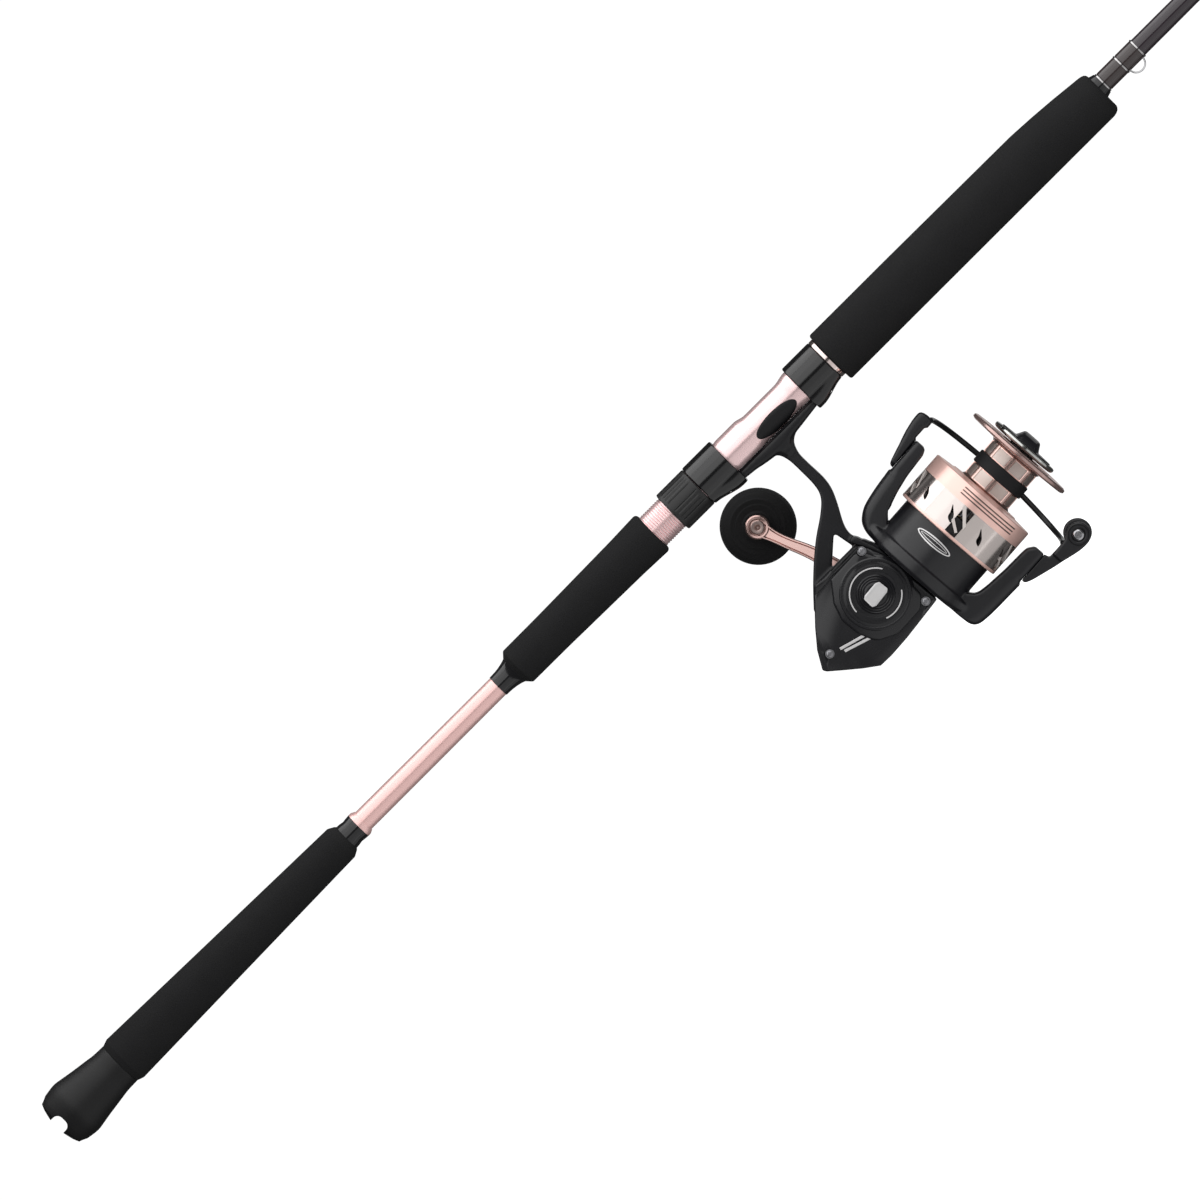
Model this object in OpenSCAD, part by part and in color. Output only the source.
// A boat rod with a front-drag spinning reel clamped in its seat.
// Frame: +X from the butt to the tip, +Z up, the reel hangs below the rod and its handle is on +Y.
// Origin: the centre of the rod holder's pin where it sits in the gimbal, on the rod's axis.

/* [Rod] */
// Distance from the gimbal pin to the end of the tip guide
rod_length = 1979; // [1900:1:2050]
// Radius of the handle shaft at the butt
butt_r = 6.8; // [6.6:0.1:7]
// Radius of the blank at its tip
tip_r = 1.15; // [1.1:0.05:1.3]

/* [Gimbal and grips] */
// Width of the gimbal's cross slots
slot_w = 9.8; // [9.4:0.1:10.2]
// Largest radius of the gimbal cap
gimbal_r = 17.6; // [17:0.1:18]
// Radius of the rear grip at its butt end
rear_grip_r = 14.6; // [14.2:0.1:15]
// Radius of the middle grip beside the reel seat
mid_grip_r = 13.6; // [13.2:0.1:13.8]
// Depth of the fore grip from top to bottom
fore_grip_d = 33.1; // [32:0.1:34]

/* [Reel seat] */
// Outer radius of the seat's thread
thread_r = 10.8; // [10.7:0.1:10.9]
// Pitch of the seat's thread
thread_pitch = 1.5; // [1.5]
// Outer radius of both hoods
hood_r = 13.3; // [13.1:0.1:13.5]

/* [Reel] */
// Tilt of the spool axis towards the rod
reel_tilt = 3.9; // [3.5:0.1:4.3]
// Distance from the rod's axis down to the spool axis, at the spool's rear edge
reel_drop = 115.5; // [115:0.1:116]
// Outer radius of the spool's skirt
skirt_r = 33.3; // [33:0.1:33.5]
// Outer radius of the spool's front lip
lip_r = 32.8; // [32:0.1:33]
// Radius of the spool's arbor
arbor_r = 15.7; // [15.2:0.1:16]
// Outer radius of the rotor cup
cup_r = 29.3; // [29:0.1:29.5]
// Radius of the main shaft
shaft_r = 2.5; // [2.5]

/* [Handle and bail] */
// Distance from the crank axis to the knob's axis
crank_length = 74.6; // [72:0.1:76]
// Radius of the handle knob
knob_r = 21.5; // [20:0.1:22]
// Diameter of the bail wire
bail_wire_d = 3.2; // [2.8:0.1:3.4]
// Radius of the line roller
roller_r = 5.2; // [4.8:0.1:5.4]

/* [Gears] */
// Teeth on the drive gear
drive_teeth = 42; // [42]
// Teeth on the pinion
pinion_teeth = 8; // [8]
// Teeth on the small gear that drives the oscillation gear
osc_drive_teeth = 18; // [18]
// Teeth on the oscillation gear
osc_teeth = 24; // [24]

/* [Hidden] */
$fn = 72;

// Fits
run_gap = 0.05;
bond_gap = 0.03;
slide_gap = 0.3;

// Stations along the rod
cap_end = 47.5;
rear_grip_end = 224;
rear_check_end = 237;
mid_check_start = 342;
mid_grip_start = 354.5;
mid_grip_end = 462.5;
nut_start = 477.5;
hood_start = 498;
barrel_start = 519.5;
front_hood_start = 575.5;
seat_end = 596;
fore_grip_start = 599;
fore_grip_end = 808;
fore_check_end = 811;
splice_x = 575;
knee_x = 860;
hollow_end = rod_length - 30;
blank_end = rod_length - 8;
seat_r = 11.2;
seat_core_r = 9;
foot_z = -9.5;
wall = 2.2;

// Radius of the handle shaft and of the blank along the rod
function core_r(x) = lookup(x, [[0, butt_r], [splice_x, 5.95], [knee_x, 5.65], [blank_end, tip_r]]);
// Inner radius of the hollow blank
function hollow_r(x) = lookup(x, [[0, 4.6], [splice_x, 4.2], [knee_x, 4], [hollow_end, 0.5]]);

// Line guides: place along the rod, outer radius of the ring, drop of its centre, wire radius
guide_x = [969, 1219, 1419, 1589, 1739, 1869];
guide_r = [15, 12.5, 10, 8, 6, 6];
guide_drop = [40, 31, 24, 19, 15, 14];
guide_wire = [1.4, 1.3, 1.1, 1, 0.9, 0.9];
tip_drop = 9;
tip_ring_r = 6;

// Hook keeper
keeper_x = 831.8;
keeper_r = 4.9;
keeper_wire_r = 0.5;
keeper_z = -5.4;

// Stations along the spool axis, from the skirt's rear edge
reel_x = 576;
rotor_rear = -29.5;
flange_end = -21;
cup_end = 12;
web_start = 3;
web_end = 7;
skirt_end = 29.7;
lip_start = 57;
lip_end = 61.3;
spool_bore_r = shaft_r + run_gap;
pinion_r = 4;

// Gear case sides, and the cover's screws
case_y0 = -16;
case_y1 = 14;
screw_at = [[536.7, -88.4], [484.5, -116], [542.2, -132.7]];

// How far the round boss on the cover sits in front of the crank axis
boss_shift = 1.5;

// Crank axis, in the spool axis's own frame
crank_x = -51.5;
crank_z = 8.5;
gear_shaft_r = 3.95;
gear_bearing_r = 7.5;
gear_r = 18.6;

// Pinion and face gear mesh
mesh_x = 15;
mesh_r = 4.2;
helix = 39.7;
pinion_teeth_start = -42.5;
pinion_teeth_end = -32.5;
// Turn of the pinion's teeth per millimetre, and their turn at the rear end
lead_rate = tan(helix) / mesh_r * 180 / PI;
pinion_phase = -1;

// Oscillation gear pair
osc_module = 0.9;
osc_x = -63.5;
osc_z = crank_z - sqrt(pow(osc_module * (osc_drive_teeth + osc_teeth) / 2, 2) - pow(osc_x - crank_x, 2));
osc_y = 6;
osc_w = 3;
osc_pin_throw = 7.5;

// Bail
hinge_x = 20;
arm_top = 47;
arm_half_w = 9.5;
roller_x = 47.4;
roller_z = -54;
wire_bulge = 59;
wire_points = [
    for (i = [0:36])
        let (t = i * 5, s = sin(t))
            [41 - 0.6 * t / 180 + 2.2 * s, 7 * t / 180 + wire_bulge * pow(s, 0.75), -1.2 + 49.6 * cos(t)]
];

// Handle, in the rod's own frame
crank_px = reel_x + crank_x * cos(reel_tilt) - crank_z * sin(reel_tilt);
crank_pz = -reel_drop + crank_x * sin(reel_tilt) + crank_z * cos(reel_tilt);
knob_dx = -21.5;
knob_dz = sqrt(crank_length * crank_length - knob_dx * knob_dx);
hub_end = 50;
knob_start = 66;
knob_end = 101;
// The arm's centre line from the hub to the knob, as [x, y, z, half width]
arm_line = [
    [0, 53, 0, 7.2], [-4.6, 54.4, 22, 5.2], [-9.9, 56.6, 40, 4.1],
    [-16.6, 59, 56, 3.8], [knob_dx, 61.4, knob_dz, 6.2]
];

// Helper shapes

// A solid of revolution about the X axis, from [x, r] points
module turned(points) {
    first = points[0];
    last = points[len(points) - 1];
    rotate([0, 90, 0])
        rotate_extrude()
            polygon(concat([[0, first[0]]], [for (p = points) [p[1], p[0]]], [[0, last[0]]]));
}

// A cylinder along X
module rod_x(x0, x1, r) {
    translate([x0, 0, 0])
        rotate([0, 90, 0])
            cylinder(h = x1 - x0, r = r);
}

// A tube along X
module tube_x(x0, x1, r_out, r_in) {
    difference() {
        rod_x(x0, x1, r_out);
        rod_x(x0 - 1, x1 + 1, r_in);
    }
}

// A cylinder along Y at a place in the XZ plane
module rod_y(x, z, y0, y1, r) {
    translate([x, y1, z])
        rotate([90, 0, 0])
            cylinder(h = y1 - y0, r = r);
}

// A cylinder along Z at a place in the XY plane
module rod_z(x, y, z0, z1, r) {
    translate([x, y, z0])
        cylinder(h = z1 - z0, r = r);
}

// An XZ outline given thickness from y0 to y1
module slab(y0, y1) {
    translate([0, y1, 0])
        rotate([90, 0, 0])
            linear_extrude(y1 - y0)
                children();
}

// Places its children in the spool axis's frame
module on_reel() {
    translate([reel_x, 0, -reel_drop])
        rotate([0, -reel_tilt, 0])
            children();
}

// The solid outline of the handle shaft and the blank, for cutting bores
module core() {
    turned([for (x = [0, splice_x, knee_x, blank_end]) [x, core_r(x)]]);
}

// The outline of a spur gear
module gear_outline(m, teeth) {
    pitch_r = m * teeth / 2;
    half = 90 / teeth;
    radii = [pitch_r - 1.15 * m, pitch_r, pitch_r + 0.8 * m];
    widths = [half * 1.3, half * 0.86, half * 0.4];
    polygon([
        for (i = [0:teeth - 1], side = [-1, 1], k = [0:2])
            let (j = side < 0 ? k : 2 - k, a = i * 360 / teeth + side * widths[j])
                [radii[j] * cos(a), radii[j] * sin(a)]
    ]);
}

// A wire swept along computed points, as one closed tube
function wire_frame(points, i) =
    let (
        n = len(points),
        a = points[max(i - 1, 0)],
        b = points[min(i + 1, n - 1)],
        t = (b - a) / norm(b - a),
        side = abs(t[2]) > 0.9 ? [1, 0, 0] : [0, 0, 1],
        u = cross(t, side) / norm(cross(t, side))
    ) [u, cross(t, u)];

module swept_wire(points, r, sides) {
    n = len(points);
    rings = [
        for (i = [0:n - 1])
            let (f = wire_frame(points, i))
                for (k = [0:sides - 1])
                    points[i] + r * (cos(360 * k / sides) * f[0] + sin(360 * k / sides) * f[1])
    ];
    walls = [
        for (i = [0:n - 2], k = [0:sides - 1])
            let (k2 = (k + 1) % sides)
                [i * sides + k, (i + 1) * sides + k, (i + 1) * sides + k2, i * sides + k2]
    ];
    caps = [
        [for (k = [0:sides - 1]) k],
        [for (k = [sides - 1:-1:0]) (n - 1) * sides + k]
    ];
    polyhedron(rings, concat(walls, caps), convexity = 6);
}

// Rod handle

module gimbal_cap() {
    color("#2b2b2e")
        difference() {
            turned([
                [-2, 8], [-1, 11.4], [0.6, 13.4], [3, 15.2], [6, 16.3], [13.5, gimbal_r],
                [24, 15.9], [34, 14.3], [39, 13.7], [cap_end, 13.4]
            ]);
            translate([8, 0, 0])
                turned([[0, core_r(8)], [cap_end - 7, core_r(cap_end)]]);
            for (turn = [0, 90])
                rotate([turn, 0, 0]) {
                    rod_y(0, 0, -20, 20, slot_w / 2);
                    translate([-6, -20, -slot_w / 2])
                        cube([6, 40, slot_w]);
                }
        }
}

// Painted handle tube under the grips and the seat
module butt_shaft() {
    color("#e0b4ae")
        difference() {
            turned([[8, core_r(8)], [splice_x, core_r(splice_x)]]);
            turned([[7, hollow_r(7)], [splice_x + 1, hollow_r(splice_x)]]);
        }
}

module rear_grip() {
    color("#1c1c1e")
        difference() {
            turned([
                [cap_end, 13.4], [cap_end + 1, 13.6], [51, rear_grip_r], [130, 12.8], [215, 11.1],
                [220, 10.6], [223, 9.2], [rear_grip_end, 8]
            ]);
            core();
        }
}

module rear_check() {
    color("#202022")
        difference() {
            turned([
                [rear_grip_end, 8], [226, 7.9], [229, 7.5], [232, 7.6], [234, 7.9],
                [235.5, 7.6], [rear_check_end, 7.1]
            ]);
            core();
        }
}

module mid_check() {
    color("#202022")
        difference() {
            turned([
                [mid_check_start, 6.7], [346, 6.9], [349, 7.3], [352, 7.9], [mid_grip_start, 8.7]
            ]);
            core();
        }
}

module mid_grip() {
    color("#1c1c1e")
        difference() {
            turned([
                [mid_grip_start, 8.7], [355.5, 11], [357, 11.8], [359, 12], [384, 12], [414, 12.3],
                [444, 13], [mid_grip_end - 1.5, mid_grip_r], [mid_grip_end, mid_grip_r - 1]
            ]);
            core();
        }
}

// Reel seat

// Fibre sleeve that centres the seat on the shaft and bridges the splice
module seat_arbor() {
    color("#8a7a5a")
        difference() {
            rod_x(mid_grip_end, seat_end, seat_core_r);
            core();
        }
}

module thread_rings() {
    turned([
        for (i = [0:floor((barrel_start - mid_grip_end) / thread_pitch) - 1], k = [0, 1])
            [mid_grip_end + (i + k * 0.5) * thread_pitch, thread_r - (1 - k) * 0.6]
    ]);
}

module seat_barrel() {
    color("#e0b4ae")
        difference() {
            union() {
                thread_rings();
                turned([
                    [barrel_start - thread_pitch, thread_r - 0.6], [barrel_start, thread_r - 0.1],
                    [522, seat_r], [536, seat_r], [543, 9.9], [566, 9.9], [573, 10.7],
                    [front_hood_start, seat_r], [seat_end, seat_r]
                ]);
                slab(-6, 6)
                    polygon([[522, -6], [574, -6], [574, foot_z], [522, foot_z]]);
            }
            rod_x(mid_grip_end - 1, seat_end + 1, seat_core_r);
            translate([505, -20, -20])
                cube([seat_end - 504, 40, 20 + foot_z]);
            pad_shapes(0);
        }
}

// The two oval inlays let into the sides of the seat
module pad_shapes(grow) {
    for (side = [-1, 1])
        intersection() {
            tube_x(530, 580, seat_r - 0.6 + grow, seat_core_r + 0.5);
            hull()
                for (dx = [-10, 10])
                    rod_y(555 + dx, -4.2, side < 0 ? -15 : 5, side < 0 ? -5 : 15, 4.9);
        }
}

module seat_pads() {
    color("#202022")
        pad_shapes(0);
}

module lock_nut() {
    rib_step = 360 / 18;
    color("#242426")
        difference() {
            turned([
                [nut_start, 12.2], [nut_start + 1, 12.9], [hood_start - 3.4, 12.9],
                [hood_start - 2.6, 12.3], [hood_start - slide_gap, 12.3]
            ]);
            rod_x(nut_start - 1, hood_start + 1, thread_r + slide_gap);
            for (i = [0:17])
                rotate([i * rib_step, 0, 0])
                    translate([nut_start + 3, -0.8, 12.3])
                        cube([12, 1.6, 2]);
        }
}

// Foot of the reel, drawn in the rod's frame; grow gives the hoods' pockets their room
module foot_profile(grow) {
    polygon([
        [507 - grow * 20, foot_z], [588 + grow, foot_z], [588 + grow, foot_z - 2.6 - grow],
        [575, foot_z - 5.2 - grow], [564, foot_z - 6.7 - grow], [531, foot_z - 7.4 - grow],
        [519, foot_z - 5.4 - grow], [507 - grow * 20, foot_z - 2.6 - grow]
    ]);
}

module foot_plan(grow) {
    linear_extrude(40, center = true)
        polygon([
            [480, -5.6 - grow], [507, -5.6 - grow], [519, -7 - grow], [534, -8.5 - grow],
            [560, -8.5 - grow], [575, -7 - grow], [588 + grow, -5.6 - grow],
            [588 + grow, 5.6 + grow], [575, 7 + grow], [560, 8.5 + grow], [534, 8.5 + grow],
            [519, 7 + grow], [507, 5.6 + grow], [480, 5.6 + grow]
        ]);
}

module foot_solid(grow) {
    intersection() {
        slab(-12, 12)
            foot_profile(grow);
        foot_plan(grow);
    }
}

module sliding_hood() {
    color("#202022")
        difference() {
            union() {
                turned([
                    [hood_start, 12.6], [hood_start + 1, hood_r], [barrel_start - 0.8, hood_r],
                    [barrel_start, hood_r - 0.6]
                ]);
                slab(-9.4, 9.4)
                    polygon([
                        [503, -8], [barrel_start, -8], [barrel_start, -16.6], [517, -17.2],
                        [510, -14.6], [503, -12.6]
                    ]);
            }
            rod_x(hood_start - 1, barrel_start + 1, thread_r + slide_gap);
            foot_solid(slide_gap);
        }
}

module front_hood() {
    color("#202022")
        difference() {
            union() {
                turned([
                    [front_hood_start, hood_r - 0.8], [front_hood_start + 1.2, hood_r],
                    [seat_end - 1, hood_r], [seat_end, hood_r - 0.8]
                ]);
                slab(-9.4, 9.4)
                    polygon([
                        [front_hood_start, -8], [592, -8], [594, -13.6], [586, -15.4],
                        [578, -17.4], [front_hood_start, -16.8]
                    ]);
            }
            difference() {
                rod_x(front_hood_start - 1, seat_end + 1, seat_r);
                translate([588, -12, -12])
                    cube([10, 24, 12 + foot_z]);
            }
            foot_solid(0);
        }
}

module seat_ring() {
    color("#d8c8c4")
        difference() {
            turned([
                [seat_end, 12.6], [seat_end + 0.5, 13.2], [fore_grip_start - 0.5, 13.2],
                [fore_grip_start, 12.6]
            ]);
            core();
        }
}

// Fore grip: round sections whose lower side stays level while the top comes down
module fore_grip() {
    belly = -17.5;
    disc = 0.5;
    stations = [
        [fore_grip_start + disc, 30], [fore_grip_start + 2, fore_grip_d], [755, 32.5], [785, 30.5],
        [fore_grip_end - 3.5, 28.6], [fore_grip_end, 23]
    ];
    lift = [1.5, 0, 0, 0, 0, 3];
    color("#1c1c1e")
        difference() {
            union()
                for (i = [0:len(stations) - 2])
                    hull()
                        for (k = [i, i + 1])
                            translate([0, 0, belly + lift[k] + stations[k][1] / 2])
                                rod_x(stations[k][0] - disc, stations[k][0], stations[k][1] / 2);
            core();
        }
}

module fore_check() {
    color("#202022")
        difference() {
            turned([[fore_grip_end + 0.01, 7.6], [809.5, 7.1], [fore_check_end, 6.7]]);
            core();
        }
}

// Blank

module blank() {
    color("#2a2228")
        difference() {
            turned([for (x = [splice_x, knee_x, blank_end]) [x, core_r(x)]]);
            turned([for (x = [splice_x - 1, knee_x, hollow_end]) [x, hollow_r(x)]]);
        }
}

module trim_rings() {
    color("#d9d4d2")
        for (x = [fore_check_end, 825, 837.6])
            difference() {
                turned([[x, 6], [x + 0.3, 6.3], [x + 1.1, 6.3], [x + 1.4, 6]]);
                core();
            }
}

module keeper_wraps() {
    color("#3a3033")
        difference() {
            union() {
                rod_x(fore_check_end + 1.4, 825, 5.98);
                rod_x(826.4, 837.6, 5.98);
            }
            core();
            keeper_feet();
            keeper_loop();
        }
}

// The half ring of the hook keeper
module keeper_loop() {
    translate([keeper_x, 0, keeper_z])
        rotate([90, 0, 0])
            rotate([0, 0, 180])
                rotate_extrude(angle = 180)
                    translate([keeper_r, 0])
                        circle(r = keeper_wire_r, $fn = 24);
}

// The keeper's two feet under the wrap
module keeper_feet() {
    for (side = [-1, 1])
        translate([0, 0, keeper_z])
            rod_x(keeper_x + side * keeper_r - (side < 0 ? 0.5 : 1.2),
                keeper_x + side * keeper_r + (side < 0 ? 1.2 : 0.5), keeper_wire_r);
}

module hook_keeper() {
    color("#c9c9cc")
        difference() {
            union() {
                keeper_loop();
                keeper_feet();
            }
            core();
        }
}

// Guides: a ring holder on two wire legs whose feet lie on the blank under the wraps

// How far a guide's legs reach along the blank from its ring
function guide_reach(i) = guide_drop[i] * 0.62 + 8;

// A guide's feet along the blank
module guide_feet(i) {
    reach = guide_reach(i);
    z = -core_r(guide_x[i]) - 0.5;
    for (side = [-1, 1])
        translate([0, 0, z])
            rod_x(guide_x[i] + (side < 0 ? -reach - 11 : reach),
                guide_x[i] + (side < 0 ? -reach : reach + 11), guide_wire[i]);
}

// A straight wire between two points
module bar(a, b, r) {
    d = b - a;
    len = norm(d);
    translate(a)
        rotate([0, acos(d[2] / len), atan2(d[1], d[0])])
            cylinder(h = len, r = r, $fn = 24);
}

// A straight wire with a ball at each end
module strut(a, b, r) {
    bar(a, b, r);
    for (p = [a, b])
        translate(p)
            sphere(r = r, $fn = 24);
}

module guide(i) {
    x = guide_x[i];
    r = guide_r[i];
    wire = guide_wire[i];
    reach = guide_reach(i);
    foot = -core_r(x) - 0.5;
    spread = r * 0.55;
    hook = sqrt(pow(r - wire, 2) - spread * spread);
    color("#26262a")
        difference() {
            union() {
                translate([x, 0, -guide_drop[i]])
                    tube_x(-1.3, 1.3, r, r - 1.6);
                guide_feet(i);
                for (y = [-spread, spread]) {
                    strut([x - reach, 0, foot], [x, y, -guide_drop[i] + hook], wire);
                    strut([x + reach, 0, foot], [x, y, -guide_drop[i] + hook], wire);
                }
            }
            core();
            translate([x, 0, -guide_drop[i]])
                rod_x(-6, 6, r - 1.6);
        }
}

module guide_1() { guide(0); }
module guide_2() { guide(1); }
module guide_3() { guide(2); }
module guide_4() { guide(3); }
module guide_5() { guide(4); }
module guide_6() { guide(5); }

module tip_guide() {
    x = rod_length - 3;
    color("#26262a")
        difference() {
            union() {
                rod_x(hollow_end, rod_length - 6, 2.1);
                translate([x, 0, -tip_drop])
                    tube_x(-1.3, 1.3, tip_ring_r, tip_ring_r - 1.4);
                for (side = [-1, 1])
                    bar([rod_length - 10, 0.6 * side, -0.9], [x, 2.2 * side, -tip_drop + 4.3], 0.7);
                bar([rod_length - 22, 0, -1], [x, 0, -tip_drop - 5.2], 0.7);
            }
            core();
            translate([x, 0, -tip_drop])
                rod_x(-12, 6, tip_ring_r - 1.4);
        }
}

// A ceramic ring with a flat land inside, bonded into its holder
module ceramic(x, z, r_out, r_in) {
    r = r_out - bond_gap;
    translate([x, 0, z])
        rotate([0, 90, 0])
            rotate_extrude()
                polygon([
                    [r_in, -0.7], [r_in + 0.6, -1.6], [r, -1.6], [r, 1.6],
                    [r_in + 0.6, 1.6], [r_in, 0.7]
                ]);
}

module guide_rings() {
    color("#3c3c40") {
        for (i = [0:len(guide_x) - 1])
            ceramic(guide_x[i], -guide_drop[i], guide_r[i] - 1.6, guide_r[i] - 3.2);
        ceramic(rod_length - 3, -tip_drop, tip_ring_r - 1.4, tip_ring_r - 2.8);
    }
}

module guide_wraps() {
    color("#2c1f26")
        for (i = [0:len(guide_x) - 1])
            difference() {
                union()
                    for (side = [-1, 1]) {
                        mid = guide_x[i] + side * (guide_reach(i) + 9.8);
                        turned([
                            [mid - 8, core_r(mid - 8)], [mid - 6.5, core_r(mid) + 1.1],
                            [mid + 6.5, core_r(mid) + 1.1], [mid + 8, core_r(mid + 8)]
                        ]);
                    }
                core();
                guide_feet(i);
            }
}

// Reel housing

// Outer outline of the stem, struts and gear case
module frame_outline() {
    polygon([
        [543.5, -15], [543.5, -45], [541, -52], [534, -58.5], [524, -65], [514, -73], [504, -83],
        [494, -94], [484, -105], [479, -112], [475, -119.5], [484, -129.5], [494, -137],
        [501, -140], [514, -140], [534, -138], [547.2, -136.5], [544.4, -95.6], [542, -88],
        [539, -80], [538.5, -76], [540, -70], [545, -61], [548.5, -53], [550, -45], [549.5, -30],
        [550.5, -24], [553.5, -20], [558, -17.5], [566, -15], [527, -15], [537, -18], [541.5, -22]
    ]);
}

// The gear case only, below the seam
module case_outline() {
    intersection() {
        frame_outline();
        polygon([
            [470, -119], [502, -87], [514, -84], [534.5, -83.2], [541.2, -86.5], [560, -95],
            [560, -150], [470, -150]
        ]);
    }
}

module reel_body() {
    color("#242427")
        difference() {
            union() {
                foot_solid(0);
                slab(-6.5, 6.5)
                    difference() {
                        frame_outline();
                        polygon([[532, -71.5], [515.5, -83.8], [534.5, -83.8]]);
                    }
                slab(case_y0, case_y1)
                    case_outline();
                rod_y(crank_px, crank_pz, case_y1 - 1, 18.5, 10);
                on_reel() {
                    rod_x(-34, -29.9, 14);
                    rod_x(-30, -9.4, 13.8);
                }
            }
            slab(case_y0 - 1, 11.5)
                offset(delta = -wall)
                    case_outline();
            rod_y(crank_px, crank_pz, 9, 13, gear_bearing_r - 1.5);
            rod_y(crank_px, crank_pz, 12.5, 17.5, gear_bearing_r);
            rod_y(crank_px, crank_pz, 17, 19, 5);
            on_reel() {
                rod_x(-36, -27, gear_bearing_r);
                rod_x(-27.5, -9, 11);
            }
            screw_holes();
            seat_room();
        }
    color("#242427")
        on_reel()
            difference() {
                union() {
                    slab(-3, 5.2)
                        polygon([[-46.8, -6.5], [-43.8, -6.5], [-43.8, 6.5], [-46.8, 6.5]]);
                    slab(5, 12)
                        polygon([[-46.8, -6.5], [-43.8, -6.5], [-43.8, 0.2], [-46.8, 0.2]]);
                    rod_y(osc_x, osc_z, osc_y - 0.1, 12, 2);
                }
                rod_x(-48, -42, 5);
            }
    color("#242427")
        for (p = screw_at)
            difference() {
                rod_y(p[0], p[1], case_y0, 12, 3.2);
                rod_y(p[0], p[1], case_y0 - 1, 0, 1.4);
            }
}

// Keeps the stem below the seat's flat
module seat_room() {
    translate([500, -20, foot_z])
        cube([100, 40, 5]);
}

// Tapped holes for the cover's screws
module screw_holes() {
    for (p = screw_at)
        rod_y(p[0], p[1], case_y0 - 5, -2, 1.4);
}

module side_cover() {
    color("#202023")
        difference() {
            union() {
                slab(-19, case_y0)
                    case_outline();
                rod_y(crank_px + boss_shift, crank_pz, -22, -16.5, 20.2);
                rod_y(crank_px, crank_pz, -16.5, -13.2, 9.5);
            }
            rod_y(crank_px, crank_pz, -17.5, -12, gear_bearing_r);
            for (p = screw_at) {
                rod_y(p[0], p[1], -20, -14, 1.6);
                rod_y(p[0], p[1], -24, -18, 2.7);
            }
        }
}

module cover_screws() {
    color("#c8c8cc")
        for (p = screw_at)
            difference() {
                union() {
                    rod_y(p[0], p[1], -19.6, -18, 2.6);
                    rod_y(p[0], p[1], -18.5, -6, 1.38);
                }
                translate([p[0], -20, p[1]])
                    for (turn = [0, 90])
                        rotate([0, turn, 0])
                            translate([-1.7, -0.2, -0.35])
                                cube([3.4, 1.3, 0.7]);
            }
}

module gear_bearings() {
    color("#b8b8bc")
        for (y = [-17.5, 12.5])
            difference() {
                rod_y(crank_px, crank_pz, y, y + 4, gear_bearing_r);
                rod_y(crank_px, crank_pz, y - 1, y + 5, 4);
            }
}

// Gear train

module drive_gear() {
    tooth_w = 0.76;
    color("#c4b48a")
        translate([crank_px, 0, crank_pz])
            difference() {
                union() {
                    rod_y(0, 0, -17.3, 18.8, gear_shaft_r);
                    rod_y(0, 0, -9.5, -5.3, gear_r);
                    rod_y(0, 0, -5.4, -3.8, 5.5);
                    for (i = [0:drive_teeth - 1])
                        rotate([0, -reel_tilt + i * 360 / drive_teeth, 0])
                            translate([mesh_x, -5.4, -crank_z])
                                rotate([0, helix, 0])
                                    translate([-1.7, 0, -tooth_w / 2])
                                        cube([3.4, 1.5, tooth_w]);
                    osc_drive_gear();
                }
                rod_y(0, 0, 4, 20, 2.4);
            }
}

module osc_drive_gear() {
    rotate([0, -reel_tilt, 0])
        slab(osc_y, osc_y + osc_w)
            rotate([0, 0, atan2(osc_z - crank_z, osc_x - crank_x)])
                gear_outline(osc_module, osc_drive_teeth);
}

module oscillation_gear() {
    color("#b9bcc2")
        on_reel()
            difference() {
                union() {
                    translate([osc_x, 0, osc_z])
                        slab(osc_y, osc_y + osc_w)
                            rotate([0, 0, atan2(crank_z - osc_z, crank_x - osc_x) + 180 / osc_teeth])
                                gear_outline(osc_module, osc_teeth);
                    rod_y(osc_x, osc_z - osc_pin_throw, osc_y - 1.4, osc_y, 1.5);
                }
                rod_y(osc_x, osc_z, osc_y - 2, osc_y + osc_w + 1, 2 + run_gap);
            }
}

module oscillation_slider() {
    color("#8f949c")
        on_reel()
            difference() {
                slab(-3.3, 4)
                    polygon([[-74.5, 3.6], [-63, 3.6], [-63, -15], [-70, -15], [-74.5, -9]]);
                rod_x(-76, -62, shaft_r);
                slab(0.5, 5)
                    polygon([
                        [-67.2, -3.2], [-63.9, -3.2], [-66.5, -13.5], [-69.8, -13.5]
                    ]);
            }
}

module main_shaft() {
    color("#cfd2d6")
        on_reel()
            difference() {
                union() {
                    rod_x(-74.5, 63, shaft_r);
                    rod_x(23, 26.8, 6);
                }
                translate([42, -4, shaft_r - 0.5])
                    cube([22, 8, 2]);
            }
}

module pinion() {
    flank = [[3.3, 17], [mesh_r, 12.5], [4.9, 5.5], [4.9, -5.5], [mesh_r, -12.5], [3.3, -17]];
    length = pinion_teeth_end - pinion_teeth_start;
    color("#cdb27a")
        on_reel()
            difference() {
                union() {
                    translate([pinion_teeth_start, 0, 0])
                        rotate([0, 90, 0])
                            linear_extrude(height = length, twist = -length * lead_rate, slices = 14)
                                polygon([
                                    for (i = [0:pinion_teeth - 1], p = flank)
                                        let (a = pinion_phase + i * 360 / pinion_teeth - p[1])
                                            [p[0] * cos(a), p[0] * sin(a)]
                                ]);
                    rod_x(-46.9, pinion_teeth_start, 3.2);
                    rod_x(pinion_teeth_end, cup_end, pinion_r);
                }
                rod_x(-48, cup_end + 1, shaft_r + run_gap);
            }
}

module pinion_bearing() {
    color("#b8b8bc")
        on_reel()
            tube_x(-31.5, -27.5, gear_bearing_r, pinion_r + run_gap);
}

module pinion_bush() {
    color("#b98a4a")
        on_reel()
            tube_x(-46.8, -43.8, 5, 3.2 + run_gap);
}

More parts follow.
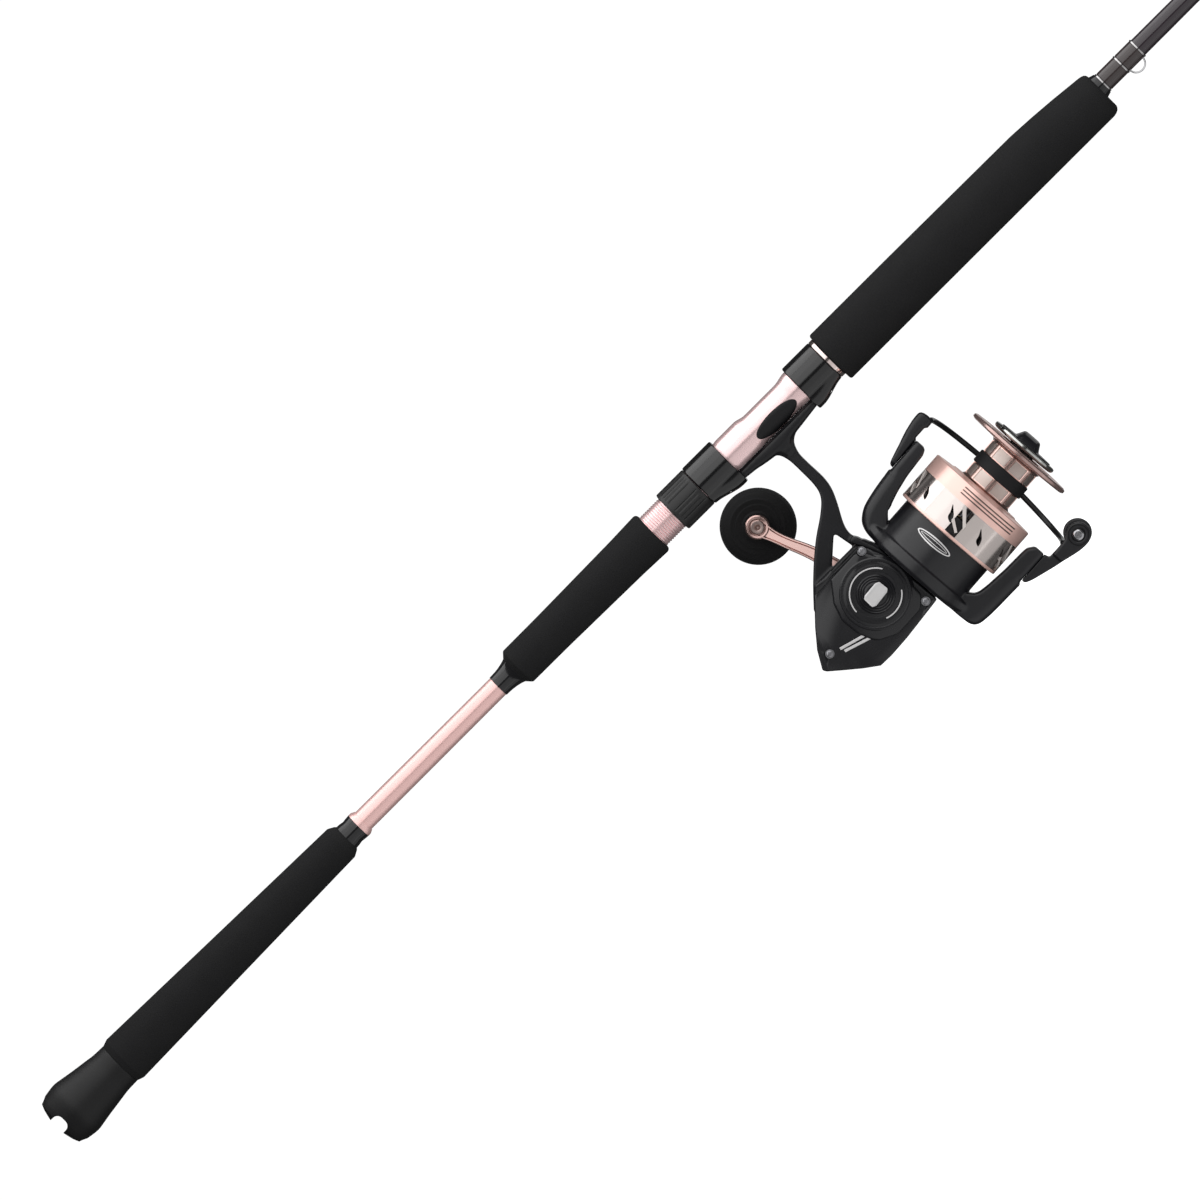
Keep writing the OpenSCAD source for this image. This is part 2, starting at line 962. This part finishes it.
module one_way_clutch() {
    color("#a9adb3")
        on_reel()
            difference() {
                rod_x(-27.4, -10.9, 11);
                rod_x(-28, -10, 5.4);
            }
    color("#a9adb3")
        on_reel()
            for (i = [0:5])
                rotate([i * 60, 0, 0])
                    translate([0, 0, pinion_r + 0.75])
                        rod_x(-26, -12.5, 0.66);
}

module clutch_plate() {
    color("#c8c8cc")
        on_reel()
            tube_x(-10.9, -9.4, 11, 5);
}

// Rotor

module arm_outline_upper() {
    polygon([
        [rotor_rear, 24], [-28.8, 34], [-27, 38.8], [-24, 41.8], [-20, 44], [-15, 45.5],
        [-10, 46.4], [0, 47.5], [5.5, 48], [6.5, arm_top], [28.5, arm_top], [28.5, 42],
        [27, 40], [24.5, 38.8], [10, 37.8], [0, 36], [-10, 33.4], [-13.5, 30], [flange_end, 26],
        [flange_end, 24]
    ]);
}

module arm_outline_lower() {
    polygon([
        [rotor_rear, -24], [-28.8, -35], [-27.4, -41], [-25.5, -44], [-22, -45.6], [-15, -46.2],
        [-5, -47], [5.5, -48], [6.5, -arm_top], [27.3, -arm_top], [27.3, -41.5], [26, -38.8],
        [23.5, -37.3], [10, -36.4], [0, -35.2], [-10, -33.2], [-14, -30], [flange_end, -25],
        [flange_end, -24]
    ]);
}

module rotor() {
    color("#232326")
        on_reel()
            difference() {
                union() {
                    turned([
                        [rotor_rear, 28.6], [-28, 30.4], [-22, 30.9], [flange_end, 30.4],
                        [flange_end + 0.6, cup_r], [cup_end, cup_r]
                    ]);
                    slab(-arm_half_w, arm_half_w)
                        arm_outline_upper();
                    slab(-arm_half_w, arm_half_w)
                        arm_outline_lower();
                }
                rod_x(rotor_rear - 1, web_start, cup_r - 2.5);
                rod_x(web_end, cup_end + 1, cup_r - 2.5);
                rod_x(web_start - 1, web_end + 1, pinion_r);
                difference() {
                    rod_x(-13, 40, skirt_r + 1.1);
                    rod_x(-14, cup_end, cup_r);
                }
                for (s = [0, 1])
                    mirror([0, 0, s])
                        rod_z(hinge_x, 0, arm_top - 6, arm_top + 1, 2.4);
                rod_z(hinge_x, 0, arm_top - 4.4, arm_top + 1, 6.4);
            }
    color("#232326")
        on_reel()
            tube_x(-7.5, web_start, 7, pinion_r);
}

module rotor_nut() {
    color("#c8c8cc")
        on_reel()
            difference() {
                translate([web_end, 0, 0])
                    rotate([0, 90, 0])
                        cylinder(h = 4.5, r = 7.5, $fn = 6);
                rod_x(web_end - 1, 13, pinion_r);
            }
}

module bail_spring() {
    turns = 3.5;
    color("#d0d0d4")
        on_reel()
            swept_wire([
                for (i = [0:42])
                    let (a = i * turns * 360 / 42)
                        [hinge_x + 5 * cos(a), 5 * sin(a), arm_top - 3.9 + i * 3.4 / 42]
            ], 0.45, 6);
}

// Shouldered screws that the bail turns on, held in the rotor's arms
module bail_pivots() {
    color("#c8c8cc")
        on_reel()
            for (s = [0, 1])
                mirror([0, 0, s]) {
                    rod_z(hinge_x, 0, arm_top - 6, arm_top + 3, 2.4);
                    rod_z(hinge_x, 0, arm_top + 3, arm_top + 4.2, 4);
                }
}

// Bail

module bail_lever() {
    color("#232326")
        on_reel()
            difference() {
                intersection() {
                    slab(-6.5, 6.5)
                        polygon([
                            [8, arm_top + slide_gap], [8.4, 49.2], [10, 50.3], [15, 51.6], [22, 53.5],
                            [28, 55], [34, 56], [39.5, 56.2], [41.3, 55.2], [42, 52],
                            [41.6, 47.2], [40.4, 46.6], [37, 46.6], [35.5, 48.1], [29, 48.1],
                            [28, arm_top + slide_gap]
                        ]);
                    linear_extrude(80)
                        polygon([
                            [7, -3.5], [9.5, -6.2], [24, -6.5], [36, -4.6], [43, -3.6],
                            [43, 3.6], [36, 4.6], [24, 6.5], [9.5, 6.2], [7, 3.5]
                        ]);
                }
                rod_z(hinge_x, 0, 46, 60, 2.4 + run_gap);
                rod_z(hinge_x, 0, arm_top + 3, 60, 4.3);
                wire_socket();
            }
}

module roller_arm() {
    color("#232326")
        on_reel()
            difference() {
                union() {
                    slab(-6.5, 6.5)
                        polygon([
                            [8, -arm_top - slide_gap], [8.4, -49.2], [12, -51.2], [20, -54],
                            [25, -55.6], [30, -57], [35, -58.3], [38, -57.6], [38.5, -50.4],
                            [27.5, -50.2], [27, -arm_top - slide_gap]
                        ]);
                    slab(-9.2, -4.2) {
                        polygon([
                            [30, -57], [36, -58.7], [39, -60], [45, -60.7], [roller_x, -61],
                            [roller_x, -47], [41, -49.5], [38, -50.4], [30, -50.4]
                        ]);
                        translate([roller_x, roller_z])
                            circle(r = 7);
                    }
                    slab(5.4, 9)
                        translate([roller_x + 0.3, roller_z + 1])
                            circle(r = 8);
                }
                rod_z(hinge_x, 0, -60, -46, 2.4 + run_gap);
                rod_z(hinge_x, 0, -60, -arm_top - 3, 4.3);
                rod_y(roller_x, roller_z, -10, 10, 2);
                rod_y(roller_x, roller_z, -10, -8, 3.2);
                wire_socket();
            }
}

module bail_wire() {
    color("#1a1a1c")
        on_reel()
            swept_wire(wire_points, bail_wire_d / 2, 12);
}

// Room for the wire's ends in the bail lever and the roller's end plate
module wire_socket() {
    swept_wire(wire_points, bail_wire_d / 2 + 0.02, 12);
}

module line_roller() {
    color("#b7babf")
        on_reel()
            difference() {
                translate([roller_x, 0, roller_z])
                    rotate([90, 0, 0])
                        rotate_extrude()
                            polygon([
                                [0, -5.1], [roller_r + 1, -5.1], [roller_r + 1, -4.4],
                                [roller_r - 0.8, -2.6], [roller_r - 0.8, 1.6],
                                [roller_r + 0.4, 3.4], [roller_r + 0.4, 3.9], [0, 3.9]
                            ]);
                rod_y(roller_x, roller_z, -8, 8, 2 + run_gap);
            }
}

module roller_screw() {
    color("#c8c8cc")
        on_reel()
            difference() {
                union() {
                    rod_y(roller_x, roller_z, -8, 9, 2);
                    rod_y(roller_x, roller_z, -9.8, -8, 3.15);
                }
                translate([roller_x, -10, roller_z])
                    for (turn = [0, 90])
                        rotate([0, turn, 0])
                            translate([-2, -0.2, -0.4])
                                cube([4, 1.4, 0.8]);
            }
}

// Spool and drag

module spool() {
    ports = 5;
    color("#e3b8b2")
        on_reel()
            difference() {
                turned([
                    [0, skirt_r - 1.2], [0.5, skirt_r - 0.4], [1.4, skirt_r], [skirt_end - 0.6, skirt_r],
                    [skirt_end, skirt_r - 0.6], [skirt_end + 1.3, 22], [31.3, arbor_r],
                    [lip_start - 0.8, arbor_r], [lip_start, arbor_r + 1.2], [58.2, lip_r - 1],
                    [58.8, lip_r], [60.2, lip_r], [60.9, lip_r - 0.8], [lip_end, 28], [lip_end, 20]
                ]);
                rod_x(-1, 27, skirt_r - 2.1);
                rod_x(26, 70, spool_bore_r);
                rod_x(45, 70, 12.4);
                for (i = [0:ports - 1])
                    rotate([90 + i * 360 / ports, 0, 0])
                        port_cut();
                for (i = [0:7])
                    rotate([i * 45 + 22.5, 0, 0])
                        for (x = [32.8, 48.4])
                            translate([x, -5.2, arbor_r - 1])
                                cube([7, 10.4, 3]);
                tube_x(40.2, 48, arbor_r + 2, arbor_r - 0.8);
            }
}

// One bay of the skirt's openings: a window with a slanted bar, and two slender slots
module port_cut() {
    difference() {
        translate([2.2, -4.4, 25])
            cube([16.4, 8.8, 12]);
        translate([10.4, 0, 25])
            rotate([0, 0, 38])
                translate([-14, -0.9, -1])
                    cube([28, 1.8, 14]);
    }
    for (turn = [-10.4, 25.6])
        rotate([turn, 0, 0])
            translate([11.2, 0, 25])
                rotate([0, 0, 35])
                    translate([-4.6, -0.9, 0])
                        cube([9.2, 1.8, 12]);
}

module spool_band() {
    color("#1b1b1d")
        on_reel()
            difference() {
                turned([[40.2, 16.2], [40.8, 16.7], [47.4, 16.7], [48, 16.2]]);
                rod_x(40, 49, arbor_r - 0.8);
            }
}

// Friction washers that turn with the spool
module drag_washers() {
    color("#4a3d30")
        on_reel()
            for (x = [45, 48, 51])
                tube_x(x, x + 1.46, 12.3, 3.4);
}

// Metal washers keyed to the shaft's flat
module keyed_washers() {
    color("#c8c8cc")
        on_reel()
            for (x = [46.5, 49.5, 52.5])
                tube_x(x, x + 1.46, 11.6, shaft_r + run_gap);
}

module drag_knob() {
    color("#2a2a2d")
        on_reel()
            difference() {
                union() {
                    rod_x(54.1, 62.4, 8);
                    turned([
                        [62.2, 19.4], [62.7, 20.4], [63.4, 20.8], [64.6, 20.8], [65.2, 20.2],
                        [65.6, 18.6], [66, 12]
                    ]);
                    intersection() {
                        slab(-17.5, 17.5)
                            polygon([
                                [65, -8.6], [66, -8.4], [69.6, -6], [71, -4.6], [71.5, -2.4],
                                [71.5, 2.4], [71, 4.6], [69.6, 6], [66, 8.4], [65, 8.6]
                            ]);
                        turned([[64, 17.5], [68, 17], [70.5, 14.5], [71.5, 11]]);
                    }
                }
                rod_x(50, 63.3, shaft_r + run_gap);
            }
}

// Handle

module handle_hub() {
    color("#242427")
        translate([crank_px, 0, crank_pz])
            difference() {
                union() {
                    rod_y(0, 0, 6, 19.2, 2.35);
                    rod_y(0, 0, 19, 30, 7.4);
                    rod_y(0, 0, 29.9, 42, 6.2);
                    rod_y(0, 0, 41.9, hub_end, 8);
                }
                rod_y(0, 0, 46, hub_end + 1, 3.05);
            }
}

module handle_arm() {
    color("#e0b4ae")
        translate([crank_px, 0, crank_pz])
            difference() {
                union() {
                    for (i = [0:len(arm_line) - 2])
                        hull()
                            for (k = [i, i + 1])
                                rod_y(arm_line[k][0], arm_line[k][2], arm_line[k][1] - 2.6,
                                    arm_line[k][1] + 2.6, arm_line[k][3], $fn = 32);
                    rod_y(0, 0, 46, 52, 3);
                    rod_y(knob_dx, knob_dz, 60, 65.4, 6.2);
                }
                rod_y(knob_dx, knob_dz, 50, 70, 3);
                rod_y(knob_dx, knob_dz, 50, 59.4, 4.3);
            }
}

module knob_axle() {
    color("#b8b8bc")
        translate([crank_px, 0, crank_pz]) {
            rod_y(knob_dx, knob_dz, 59.2, 96, 3);
            rod_y(knob_dx, knob_dz, 57.4, 59.4, 4.2);
        }
}

module handle_knob() {
    color("#1c1c1e")
        translate([crank_px + knob_dx, 0, crank_pz + knob_dz])
            difference() {
                rotate([-90, 0, 0])
                    rotate_extrude()
                        polygon([
                            [0, knob_start], [8, knob_start], [9, knob_start + 1.2],
                            [12.4, knob_start + 1.2], [15.5, knob_start + 2], [19, knob_start + 4.6],
                            [knob_r - 0.5, knob_start + 9], [knob_r, knob_start + 14],
                            [knob_r, knob_start + 20], [knob_r - 1.4, knob_start + 26],
                            [16, knob_start + 32], [11, knob_end - 0.8], [0, knob_end]
                        ]);
                rod_y(0, 0, knob_start - 1, 96.4, 3 + run_gap);
            }
}

gimbal_cap();
butt_shaft();
rear_grip();
rear_check();
mid_check();
mid_grip();
seat_arbor();
seat_barrel();
seat_pads();
lock_nut();
sliding_hood();
front_hood();
seat_ring();
fore_grip();
fore_check();
blank();
trim_rings();
keeper_wraps();
hook_keeper();
guide_1();
guide_2();
guide_3();
guide_4();
guide_5();
guide_6();
tip_guide();
guide_rings();
guide_wraps();
reel_body();
side_cover();
cover_screws();
gear_bearings();
drive_gear();
oscillation_gear();
oscillation_slider();
main_shaft();
pinion();
pinion_bearing();
pinion_bush();
one_way_clutch();
clutch_plate();
rotor();
rotor_nut();
bail_spring();
bail_pivots();
bail_lever();
roller_arm();
bail_wire();
line_roller();
roller_screw();
spool();
spool_band();
drag_washers();
keyed_washers();
drag_knob();
handle_hub();
handle_arm();
knob_axle();
handle_knob();
